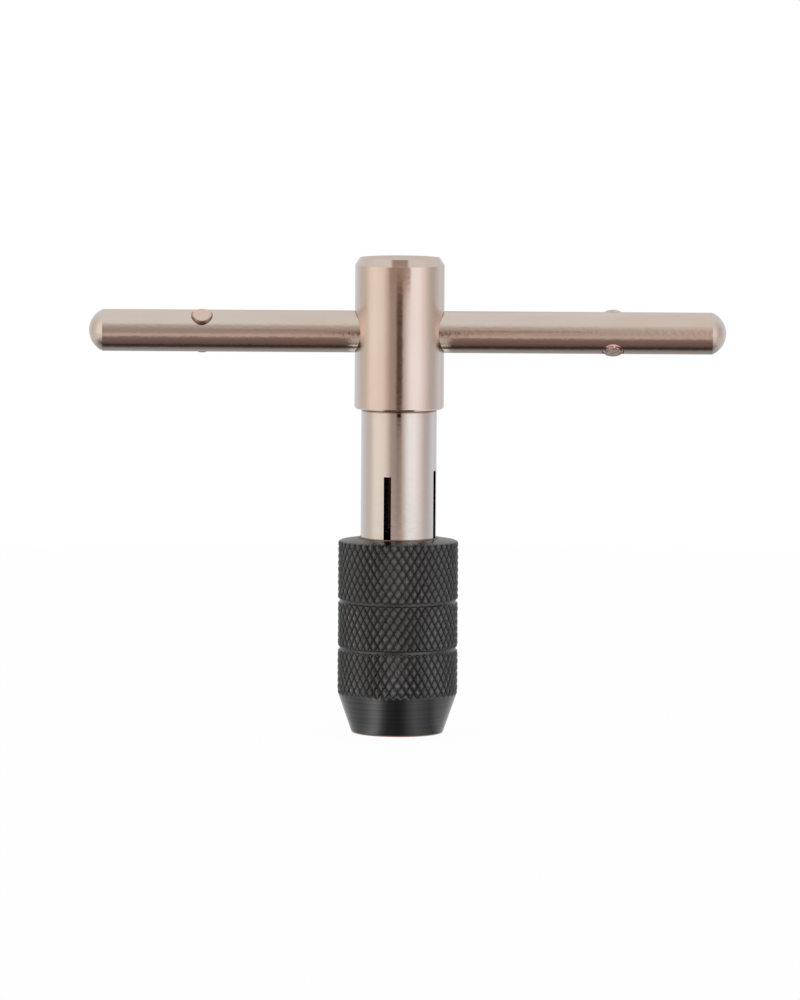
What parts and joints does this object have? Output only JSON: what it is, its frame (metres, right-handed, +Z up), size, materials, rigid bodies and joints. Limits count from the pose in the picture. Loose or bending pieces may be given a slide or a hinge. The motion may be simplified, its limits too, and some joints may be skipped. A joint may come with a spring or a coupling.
{
  "type": "tap wrench",
  "caption": "T-handle tap wrench with a sliding bar, a plain shank and a split collet that a knurled screw sleeve closes on the square of a tap.",
  "frame": {"origin": "centre of the sleeve's nose face, on the tool's axis", "axes": "+Z up the tool's axis from the nose to the head, +X along the sliding bar"},
  "size_m": [0.0962, 0.0182, 0.072],
  "materials": {
    "nickel_steel": "turned steel with a warm nickel plate, satin bright",
    "collet_steel": "turned steel with a warm nickel plate, satin",
    "black_oxide": "knurled steel, black oxide, satin",
    "bronze": "plain bronze, dull",
    "bar_steel": "drawn steel with a warm nickel plate, bright",
    "hard_steel": "polished hard steel",
    "screw_black": "black screw steel"
  },
  "bodies": {
    "body": {"body": "nickel_steel", "friction_ball": "hard_steel", "friction_spring": "hard_steel", "grub_screw": "screw_black"},
    "bar": {"sliding_bar": "bar_steel", "stop_pin_left": "bar_steel", "stop_pin_right": "bar_steel"},
    "ring": {"guide_ring": "bronze"},
    "sleeve": {"chuck_sleeve": "black_oxide"},
    "finger_1": {"collet_finger_1": "collet_steel"},
    "finger_2": {"collet_finger_2": "collet_steel"},
    "finger_3": {"collet_finger_3": "collet_steel"},
    "finger_4": {"collet_finger_4": "collet_steel"}
  },
  "joints": [
    {"name": "handle_slide", "type": "slide", "parent": "body", "child": "bar", "axis": [1, 0, 0], "range_m": [-0.024, 0.0216]},
    {"name": "sleeve_travel", "type": "slide", "parent": "body", "child": "ring", "axis": [0, 0, 1], "range_m": [0, 0.00286]},
    {"name": "sleeve_turn", "type": "hinge", "parent": "ring", "child": "sleeve", "pos_m": [0, 0, 0.0145], "axis": [0, 0, 1], "range_deg": [0, 810]},
    {"name": "finger_1_flex", "type": "hinge", "parent": "body", "child": "finger_1", "pos_m": [0.00354, 0.00186, 0.0185], "axis": [-0.4648, 0.8854, 0], "range_deg": [0, 2.26]},
    {"name": "finger_2_flex", "type": "hinge", "parent": "body", "child": "finger_2", "pos_m": [-0.00186, 0.00354, 0.0185], "axis": [-0.8854, -0.4648, 0], "range_deg": [0, 2.26]},
    {"name": "finger_3_flex", "type": "hinge", "parent": "body", "child": "finger_3", "pos_m": [-0.00354, -0.00186, 0.0185], "axis": [0.4648, -0.8854, 0], "range_deg": [0, 2.26]},
    {"name": "finger_4_flex", "type": "hinge", "parent": "body", "child": "finger_4", "pos_m": [0.00186, -0.00354, 0.0185], "axis": [0.8854, 0.4648, 0], "range_deg": [0, 2.26]}
  ],
  "couplings": [
    {"joint": "sleeve_turn", "follows": "sleeve_travel", "rad_per_m": 4947.4},
    {"joint": "finger_1_flex", "follows": "sleeve_travel", "rad_per_m": 13.743},
    {"joint": "finger_2_flex", "follows": "sleeve_travel", "rad_per_m": 13.743},
    {"joint": "finger_3_flex", "follows": "sleeve_travel", "rad_per_m": 13.743},
    {"joint": "finger_4_flex", "follows": "sleeve_travel", "rad_per_m": 13.743}
  ]
}
